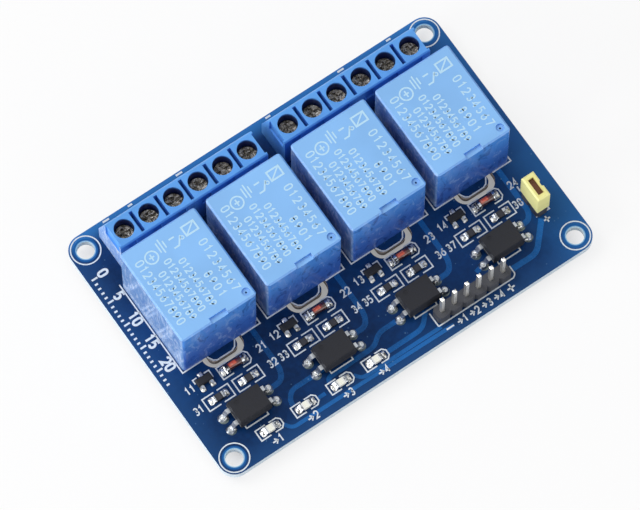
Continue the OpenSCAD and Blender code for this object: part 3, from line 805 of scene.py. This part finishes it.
class LayTracks(bpy.types.Operator):
    """Copper tracks that show as raised lines under the mask"""

    bl_idname = "relay_board.lay_tracks"
    bl_label = "Lay Tracks"

    def execute(self, context):
        sheet = Sheet()
        top = BOARD_TOP + 0.03
        low = BOARD_TOP - 0.01
        for i in range(CHANNELS):
            x = channel_x(i)
            bend = [(x + 6.2, -4.9), (x + 6.2, -14.0), (x + 5.2, -15.9), (x + 2.9, -15.95)]
            if i == CHANNELS - 1:
                bend = [(x + 5.2, -4.9), (x + 5.2, -14.6), (x + 4.2, -15.9), (x + 2.9, -15.95)]
            sheet.ribbon(rounded(bend, 1.3), 1.0, low, top)
        runs = (
            ([(-14.0, -18.2), (-20.7, -18.25), (-21.9, -19.7), (-22.0, -21.0)], 0.9),
            ([(1.6, -18.1), (-2.6, -18.15), (-4.4, -19.8), (-14.2, -20.0), (-14.6, -21.0)], 0.9),
            ([(19.2, -18.2), (17.6, -18.6)], 0.9),
            ([(6.4, -19.4), (4.2, -21.8), (-3.4, -21.85)], 0.9),
            ([(-25.3, -22.4), (-24.3, -23.95), (-14.0, -24.0), (9.0, -24.25)], 0.7),
            ([(-17.9, -22.0), (-16.2, -22.0)], 0.7),
            ([(-10.4, -22.0), (-9.4, -23.3), (7.0, -23.35)], 0.7),
            ([(23.0, -21.6), (28.2, -21.65), (32.5, -16.9)], 1.05),
        )
        for path, width in runs:
            sheet.ribbon(rounded(path, 1.4), width, low, top)
        sheet.build("tracks", track_finish(), slot="board")
        return {"FINISHED"}


class PrintLegend(bpy.types.Operator):
    """White print on the board: outlines of the parts, rings, bars and plain numbers"""

    bl_idname = "relay_board.print_legend"
    bl_label = "Print Legend"

    def execute(self, context):
        s = settings().board
        line = s.line / MM
        low = BOARD_TOP - 0.01
        top = BOARD_TOP + s.ink_depth / MM + 0.02
        sheet = Sheet()

        def stroke(path, width=line, closed=False):
            sheet.ribbon(path, width, low, top, closed)

        def digits(text, x, y, height=1.3, turn=0.0, width=0.25):
            number(sheet, text, x, y, height, low, top, turn, width, 0.78, 1.2)

        for x in (-HOLE_X, HOLE_X):
            for y in (-HOLE_Y, HOLE_Y):
                stroke(arc(x, y, 2.62, 0, 360, 48)[:-1], 0.22, True)
        for i in range(CHANNELS):
            x = channel_x(i)
            front = CASE_FRONT
            back = CASE_FRONT + 19.3
            stroke([(x - 4.05, front - 0.1), (x - 8.0, front - 0.1), (x - 8.0, back)])
            stroke([(x + 8.0, back), (x + 8.0, front - 0.1), (x + 4.1, front - 0.1)])
            tongue = [(-2.95, 0.0), (-2.35, -1.05), (-1.75, -1.42), (1.3, -1.42), (2.0, -1.1), (2.75, 0.0)]
            stroke([(x + a, front + b - 0.05) for a, b in tongue])
            for left, right, gap in ((-1.85, 3.35, (0.35, 1.25)), (-8.0, -2.75, (-5.65, -4.95))):
                y0, y1 = -13.55, -11.05
                stroke([(x + gap[0], y0), (x + left, y0), (x + left, y1), (x + gap[0], y1)])
                stroke([(x + gap[1], y0), (x + right, y0), (x + right, y1), (x + gap[1], y1)])
            y0, y1 = -10.15, -7.7
            stroke([(x - 0.75, y0), (x - 2.85, y0), (x - 2.85, y1), (x - 0.75, y1)])
            nose = [(2.65, y0), (3.2, y0 + 0.6), (3.2, y1 - 0.6), (2.65, y1)]
            stroke([(x + 1.15, y0)] + [(x + a, y) for a, y in nose] + [(x + 1.15, y1)])
            stroke([(x - 7.35, -8.1), (x - 7.35, -7.25), (x - 6.55, -7.25)])
            stroke([(x - 5.05, -7.25), (x - 4.05, -7.25), (x - 4.05, -8.7)])
            stroke([(x - 4.55, -18.85), (x - 4.55, -19.6), (x - 0.05, -19.6), (x - 0.05, -18.85)])
            digits(11 + i, x - 9.5, -9.1)
            digits(21 + i, x + 5.0, -9.45)
            digits(31 + 2 * i, x - 10.3, -12.95)
            digits(32 + 2 * i, x + (3.65 if i == CHANNELS - 1 else 4.95), -12.95)
        for k in range(CHANNELS):
            x = FIRST_LAMP_X + k * LAMP_PITCH
            y0, y1 = -22.95, -20.85
            stroke([(x - 0.45, y0), (x - 2.42, y0), (x - 2.42, y1), (x - 0.35, y1)])
            nose = [(1.85, y0), (2.42, y0 + 0.55), (2.42, y1 - 0.55), (1.85, y1)]
            stroke([(x + 0.45, y0)] + [(x + a, y) for a, y in nose] + [(x + 0.35, y1)])
            stroke([(x - 1.0, -24.3), (x - 0.1, -24.3)], 0.28)
            stroke([(x - 0.5, -23.8), (x - 0.05, -24.3), (x - 0.5, -24.8)], 0.24)
            digits(k + 1, x + 0.35, -24.9)
        stroke(rounded([(6.65, -20.2), (6.65, -23.05), (22.3, -23.05)], 0.15))
        stroke(rounded([(22.3, -23.05), (22.95, -22.6), (22.95, -20.9)], 0.3))
        for k in range(INPUT_PINS):
            x = STRIP_LOW.x + PIN_PITCH * (k + 0.5)
            if k in (0, INPUT_PINS - 1):
                stroke([(x - 0.75, -24.3), (x + 0.75, -24.3)], 0.3)
            if k == INPUT_PINS - 1:
                stroke([(x, -23.55), (x, -25.05)], 0.3)
            if 0 < k < INPUT_PINS - 1:
                stroke([(x - 0.95, -24.3), (x - 0.15, -24.3)], 0.28)
                stroke([(x - 0.55, -23.8), (x - 0.1, -24.3), (x - 0.55, -24.8)], 0.24)
                digits(k, x + 0.3, -24.95)
        stroke([(31.9, -16.15), (34.65, -16.15), (34.65, -15.5)], 0.3)
        stroke([(33.25, -16.9), (33.25, -18.1)], 0.28)
        stroke([(32.65, -17.5), (33.85, -17.5)], 0.28)
        stroke([(32.4, -9.7), (32.4, -10.7)], 0.28)
        # Plain scale along the left end
        for k in range(24):
            y = 17.5 - k
            reach = 1.15 if k % 5 == 0 else 0.6
            stroke([(-37.75, y), (-37.75 + reach, y)], 0.34)
            if k % 5 == 0:
                text = str(k)
                number(sheet, text, -36.25, y + 0.5 * len(text) * 1.15, 1.75, low, top, -90, 0.42, 0.8, 1.2)
        for x, length in ((-29.6, 1.3), (-24.6, 0.9), (-14.4, 1.3), (4.2, 1.0), (19.5, 1.3), (29.6, 0.9)):
            stroke([(x - length / 2, 25.3), (x + length / 2, 25.3)], 0.35)
        sheet.build("legend", ink_finish("legend_ink", tuple(s.ink)), slot="board")
        return {"FINISHED"}


class DressRelays(bpy.types.Operator):
    """Translucent cases and their bases"""

    bl_idname = "relay_board.dress_relays"
    bl_label = "Dress Relays"

    def execute(self, context):
        s = settings().plastic
        dress(case_finish(), *numbered("relay_case", CHANNELS))
        dress(plastic_finish("relay_base_plastic", tuple(s.base), 0.4), *numbered("relay_base", CHANNELS))
        return {"FINISHED"}


def coil_symbol(sheet, x, y, low, top):
    """An oblong crossed by one line."""
    box = [(x - 1.3, y + 0.9), (x + 1.1, y + 0.9), (x + 1.1, y - 0.9), (x - 1.3, y - 0.9)]
    sheet.ribbon(box, 0.32, low, top, True)
    sheet.ribbon([(x - 1.1, y - 0.75), (x + 0.9, y + 0.75)], 0.26, low, top + 0.002)


def contact_symbol(sheet, x, y, low, top):
    """A changeover contact: a leaning arm, a fixed line and a pivot."""
    sheet.ribbon([(x - 1.2, y - 1.6), (x - 0.2, y - 1.6), (x + 0.9, y - 0.1)], 0.3, low, top)
    sheet.ribbon([(x - 1.2, y + 0.2), (x - 0.1, y + 0.2)], 0.3, low, top)
    sheet.ribbon(arc(x + 1.0, y - 0.7, 0.3, 0, 360, 16)[:-1], 0.2, low, top, True)


def bar_symbol(sheet, x, y, low, top):
    """Three bars side by side."""
    for k, reach in enumerate((1.0, 1.4, 0.7)):
        at = x - 0.6 + k * 0.6
        sheet.ribbon([(at, y - reach), (at, y + reach)], 0.26, low, top)


def ring_symbol(sheet, x, y, low, top):
    """A ring round a cross."""
    sheet.ribbon(arc(x, y, 1.15, 0, 360, 32)[:-1], 0.28, low, top, True)
    sheet.ribbon([(x, y - 0.65), (x, y + 0.65)], 0.28, low, top)
    for start in (-0.5, 0.15):
        sheet.ribbon([(x + start, y), (x + start + 0.35, y)], 0.28, low, top)


class PrintCases(bpy.types.Operator):
    """Plain symbols and rows of digits printed on the relay cases"""

    bl_idname = "relay_board.print_cases"
    bl_label = "Print Cases"

    def execute(self, context):
        ink = ink_finish("case_ink", srgb(188, 226, 250), 0.12)
        low = CASE_TOP - 0.01
        top = CASE_TOP + 0.015
        # Each column runs down the case: how far from the middle, where it starts, height, pitch, digits
        columns = (
            (4.65, 8.2, 1.5, 1.4, "01234567"),
            (2.2, 2.9, 1.4, 1.4, "8901"),
            (-0.05, 7.3, 1.25, 1.02, "0123456789"),
            (-2.15, 8.6, 1.25, 1.02, "01234567890"),
            (-4.2, 7.2, 1.25, 1.02, "0123456789"),
            (-6.45, 11.0, 1.5, 1.25, "01234567890"),
        )
        for i in range(CHANNELS):
            x = channel_x(i)
            sheet = Sheet()
            for across, y, high, step, text in columns:
                step = step * DIGIT_HEIGHT / high
                number(sheet, text, x + across, y, high, low, top, -90, 0.24, 0.8, step)
            coil_symbol(sheet, x + 5.0, 11.2, low, top)
            contact_symbol(sheet, x + 1.9, 11.2, low, top)
            bar_symbol(sheet, x - 0.9, 11.2, low, top)
            ring_symbol(sheet, x - 3.4, 10.4, low, top)
            sheet.build("case_print_%d" % (i + 1), ink, slot="relay_case")
        return {"FINISHED"}


class DressRelayWorks(bpy.types.Operator):
    """Coils, iron and contacts inside the relays"""

    bl_idname = "relay_board.dress_relay_works"
    bl_label = "Dress Relay Works"

    def execute(self, context):
        m = settings().metal
        dress(plastic_finish("bobbin_plastic", srgb(214, 208, 190), 0.45), "relay_bobbins")
        dress(metal_finish("enamelled_wire", tuple(m.winding), 0.3, 12.0, 0.35, 0.03), "relay_windings")
        iron = metal_finish("plated_iron", tuple(m.iron), 0.3, 6.0, 0.25)
        dress(iron, "relay_cores", "relay_yokes", *numbered("relay_armature", CHANNELS))
        dress(metal_finish("contact_brass", tuple(m.brass), 0.25, 7.0, 0.25), "relay_contacts")
        dress(metal_finish("tinned_pin", tuple(m.solder), 0.25, 7.0, 0.2), "relay_coil_pins", "terminal_bars")
        return {"FINISHED"}


class DressTerminals(bpy.types.Operator):
    """Terminal blocks"""

    bl_idname = "relay_board.dress_terminals"
    bl_label = "Dress Terminals"

    def execute(self, context):
        dress(block_finish(), *numbered("terminal_block", CHANNELS))
        return {"FINISHED"}


class DressClamps(bpy.types.Operator):
    """Clamp screws and the cages that they raise"""

    bl_idname = "relay_board.dress_clamps"
    bl_label = "Dress Clamps"

    def execute(self, context):
        m = settings().metal
        dress(screw_finish(), *numbered("clamp_screw", POLES))
        dress(metal_finish("cage_metal", tuple(m.iron), 0.35, 5.0, 0.3), *numbered("clamp_cage", POLES))
        return {"FINISHED"}


class DressHeaders(bpy.types.Operator):
    """Pin headers and the jumper cap"""

    bl_idname = "relay_board.dress_headers"
    bl_label = "Dress Headers"

    def execute(self, context):
        s = settings().plastic
        m = settings().metal
        dress(plastic_finish("strip_plastic", tuple(s.strip), 0.45, 8.0, 0.8), "input_strip", "jumper_strip")
        dress(metal_finish("pin_plating", tuple(m.pin), 0.32, 6.0, 0.05), "header_pins")
        dress(plastic_finish("jumper_plastic", tuple(s.cap), 0.35, 6.0, 0.92), "jumper_cap")
        dress(metal_finish("clip_copper", srgb(112, 78, 62), 0.3, 3.0, 0.6), "jumper_clip")
        return {"FINISHED"}


class DressDrivers(bpy.types.Operator):
    """Optocouplers, transistors, diodes, resistors and lamps"""

    bl_idname = "relay_board.dress_drivers"
    bl_label = "Dress Drivers"

    def execute(self, context):
        dress(package_finish(), "optocouplers", "transistors")
        dress(diode_finish(), "diodes")
        resistor = chip_finish(
            "resistor_body", srgb(30, 30, 36), srgb(50, 50, 58), CHANNEL_PITCH, channel_x(0), RESISTOR_X
        )
        dress(resistor, "resistors")
        lamp = chip_finish(
            "lamp_body", srgb(240, 240, 236), srgb(250, 250, 236), LAMP_PITCH, FIRST_LAMP_X, (0.0,)
        )
        dress(lamp, "indicator_lamps")
        return {"FINISHED"}


def blob(sheet, x, y, width, depth, height, seed):
    """A low uneven mound of solder on an oblong foot."""
    rng = random.Random(seed)
    base = len(sheet.points)
    rings = ((1.0, 0.0), (0.94, 0.35), (0.74, 0.75), (0.4, 0.96))
    sides = 16
    wobble = [1.0 + rng.uniform(-0.07, 0.07) for _ in range(sides)]
    lift = [rng.uniform(0.75, 1.15) for _ in range(sides)]
    for reach, up in rings:
        for k in range(sides):
            turn = 2 * math.pi * k / sides
            c, s = math.cos(turn), math.sin(turn)
            square = max(abs(c), abs(s)) ** -0.6
            sheet.points.append(
                (
                    x + c * square * reach * wobble[k] * width / 2,
                    y + s * square * reach * wobble[k] * depth / 2,
                    BOARD_TOP - 0.01 + up * height * (lift[k] if up else 1.0),
                )
            )
    for ring in range(len(rings) - 1):
        for k in range(sides):
            m = (k + 1) % sides
            a = base + ring * sides
            sheet.faces.append((a + k, a + m, a + sides + m, a + sides + k))
    sheet.points.append((x, y, BOARD_TOP + height))
    last = base + (len(rings) - 1) * sides
    tip = len(sheet.points) - 1
    for k in range(sides):
        sheet.faces.append((last + k, last + (k + 1) % sides, tip))
    sheet.faces.append(tuple(base + k for k in reversed(range(sides))))


class AddSolder(bpy.types.Operator):
    """Uneven solder round the feet of the small parts, with a dull dark ring round each optocoupler foot"""

    bl_idname = "relay_board.add_solder"
    bl_label = "Add Solder"

    def execute(self, context):
        opto_y = (OPTO_LOW.y + OPTO_HIGH.y) / 2
        sheet = Sheet()
        halo = Sheet()
        corners = ((-4.75, 1.27), (-4.75, -1.27), (4.75, 1.27), (4.75, -1.27))
        ends = [(at, side) for at in RESISTOR_X for side in (-1, 1)]
        for i in range(CHANNELS):
            x = channel_x(i)
            for n, (at, side) in enumerate(ends):
                blob(sheet, x + at + side * 1.42, RESISTOR_FEET_Y, 1.15, 1.45, 0.36, 40 * i + n)
            for n, (dx, dy) in enumerate(corners):
                y = opto_y + dy * 0.95
                blob(sheet, x + OPTO_X + dx * 0.94, y, 1.5, 1.35, 0.6, 40 * i + 10 + n)
                halo.disc(x + OPTO_X + dx * 0.97, y - 0.2, 0.92, BOARD_TOP - 0.01, BOARD_TOP + 0.02, 28)
            for n, (dx, dy) in enumerate(((0.0, 1.2), (-0.98, -1.25), (0.98, -1.25))):
                blob(sheet, x + TRANSISTOR_X + dx, TRANSISTOR_Y + dy, 0.95, 1.0, 0.26, 40 * i + 20 + n)
            for n, dx in enumerate((-2.3, 2.15)):
                blob(sheet, x + DIODE_X + dx, DIODE_FEET_Y, 1.1, 1.7, 0.5, 40 * i + 30 + n)
        for k in range(CHANNELS):
            for n, side in enumerate((-1, 1)):
                x = FIRST_LAMP_X + k * LAMP_PITCH + side * 1.45
                blob(sheet, x, LAMP_FEET_Y, 1.15, 1.5, 0.42, 200 + 2 * k + n)
        f = Finish("solder_mounds")
        place = f.place()
        lump = f.noise(place, 1.6, 4.0, 0.7, 0.7)
        fine = f.noise(place, 6.0, 2.0)
        base = f.mix(srgb(120, 120, 118), srgb(244, 244, 240), lump.step(0.4, 0.52))
        f.build(Base_Color=base, Metallic=0.7, Roughness=0.2 + fine * 0.2, Normal=f.bump(lump, 0.06, 0.7))
        sheet.build("solder_mounds", f.material, slot="solder", smooth=True)
        # A dull dark greenish disc round each optocoupler foot.
        f = Finish("dark_solder_ring")
        place = f.place()
        lump = f.noise(place, 1.1, 4.0)
        base = f.mix(srgb(66, 84, 92), srgb(120, 132, 128), lump.step(0.4, 0.65))
        f.build(Base_Color=base, Roughness=0.2 + lump * 0.2, Specular_IOR_Level=0.4)
        halo.build("dark_solder_rings", f.material, slot="solder")
        return {"FINISHED"}


class SetStage(bpy.types.Operator):
    """Floor, lamps, world and camera"""

    bl_idname = "relay_board.set_stage"
    bl_label = "Set Stage"

    def execute(self, context):
        s = settings().stage
        scene = context.scene
        f = Finish("floor")
        place = f.place()
        cloud = f.noise(place, 0.006, 2.0)
        base = f.mix(tuple(s.floor), tuple(c * 0.985 for c in s.floor), cloud)
        f.build(Base_Color=base, Roughness=0.6, Specular_IOR_Level=0.0)
        glow = f.add("ShaderNodeEmission", None, {"Color": (1.0, 1.0, 1.0), "Strength": 1.0})
        plain = Value(f, f.shader.outputs[0])
        x, y, _ = f.axes(place)
        # Painted shadow: the floor glows less for the camera under and near the board.
        clear_of_painted_shadow = (abs(x) - 30.0).most(abs(y) - 18.0).step(0.0, 9.0)
        lit = f.blend(f.ray("Is Camera Ray") * (clear_of_painted_shadow * 0.5 + 0.3), plain, glow)
        f.set(f.find("OUTPUT_MATERIAL").inputs["Surface"], lit)
        mesh = bpy.data.meshes.new("floor")
        size = 3.0
        corners = [(-size, -size, 0), (size, -size, 0), (size, size, 0), (-size, size, 0)]
        mesh.from_pydata(corners, [], [(0, 1, 2, 3)])
        mesh.materials.append(f.material)
        floor = bpy.data.objects.new("floor", mesh)
        scene.collection.objects.link(floor)

        world = bpy.data.worlds.new("studio")
        scene.world = world
        world.use_nodes = True
        g = Graph(world.node_tree)
        shade = g.find("BACKGROUND")
        g.set(shade.inputs["Color"], (1.0, 1.0, 1.0))
        g.set(shade.inputs["Strength"], s.world)
        bright = g.add("ShaderNodeBackground", None, {"Strength": 1.0})
        seen = g.ray("Is Camera Ray").most(g.ray("Is Glossy Ray")).most(g.ray("Is Transmission Ray"))
        sky = g.blend(seen, Value(g, shade.outputs[0]), bright)
        g.set(g.find("OUTPUT_WORLD").inputs["Surface"], sky)

        lamps = (
            ("key_lamp", (-0.45, 0.5, 0.85), s.key, 0.6),
            ("side_lamp", (-1.0, 0.05, 0.26), s.side, 0.5),
            ("front_lamp", (0.1, -0.95, 0.36), s.front, 0.6),
        )
        for name, spot, power, size in lamps:
            light = bpy.data.lights.new(name, "AREA")
            light.energy = power
            light.size = size
            lamp = bpy.data.objects.new(name, light)
            lamp.location = spot
            aim = Vector(s.aim) - Vector(spot)
            lamp.rotation_euler = aim.to_track_quat("-Z", "Y").to_euler()
            scene.collection.objects.link(lamp)

        camera = bpy.data.cameras.new("camera")
        camera.lens = s.lens
        camera.sensor_width = 36.0
        camera.clip_start = 0.01
        view = bpy.data.objects.new("camera", camera)
        a, e = s.azimuth, s.elevation
        look = Vector((-math.sin(a) * math.cos(e), math.cos(a) * math.cos(e), -math.sin(e)))
        view.location = Vector(s.aim) - look * s.distance
        view.rotation_euler = look.to_track_quat("-Z", "Y").to_euler()
        scene.collection.objects.link(view)
        bpy.context.scene.camera = view
        scene.view_settings.view_transform = "Standard"
        return {"FINISHED"}


OPERATORS = (
    DressBoard,
    LayTracks,
    PrintLegend,
    DressRelays,
    PrintCases,
    DressRelayWorks,
    DressTerminals,
    DressClamps,
    DressHeaders,
    DressDrivers,
    AddSolder,
    SetStage,
)


class RelayBoardPanel(bpy.types.Panel):
    """Buttons for every step and the settings that they use."""

    bl_label = "Relay Board"
    bl_idname = "VIEW3D_PT_relay_board"
    bl_space_type = "VIEW_3D"
    bl_region_type = "UI"
    bl_category = "Relay Board"

    def draw(self, context):
        for operator in OPERATORS:
            self.layout.operator(operator.bl_idname)
        for name in ("board", "plastic", "metal", "stage"):
            group = getattr(context.scene.relay_board, name)
            box = self.layout.box()
            for key in type(group).__annotations__:
                box.prop(group, key)


CLASSES = (
    BoardSettings,
    PlasticSettings,
    MetalSettings,
    StageSettings,
    RelayBoardSettings,
) + OPERATORS + (RelayBoardPanel,)


def register():
    for cls in CLASSES:
        bpy.utils.register_class(cls)
    bpy.types.Scene.relay_board = PointerProperty(type=RelayBoardSettings)


def unregister():
    del bpy.types.Scene.relay_board
    for cls in reversed(CLASSES):
        bpy.utils.unregister_class(cls)


def main():
    register()
    for operator in OPERATORS:
        group, step = operator.bl_idname.split(".")
        getattr(getattr(bpy.ops, group), step)()


if __name__ == "__main__":
    main()
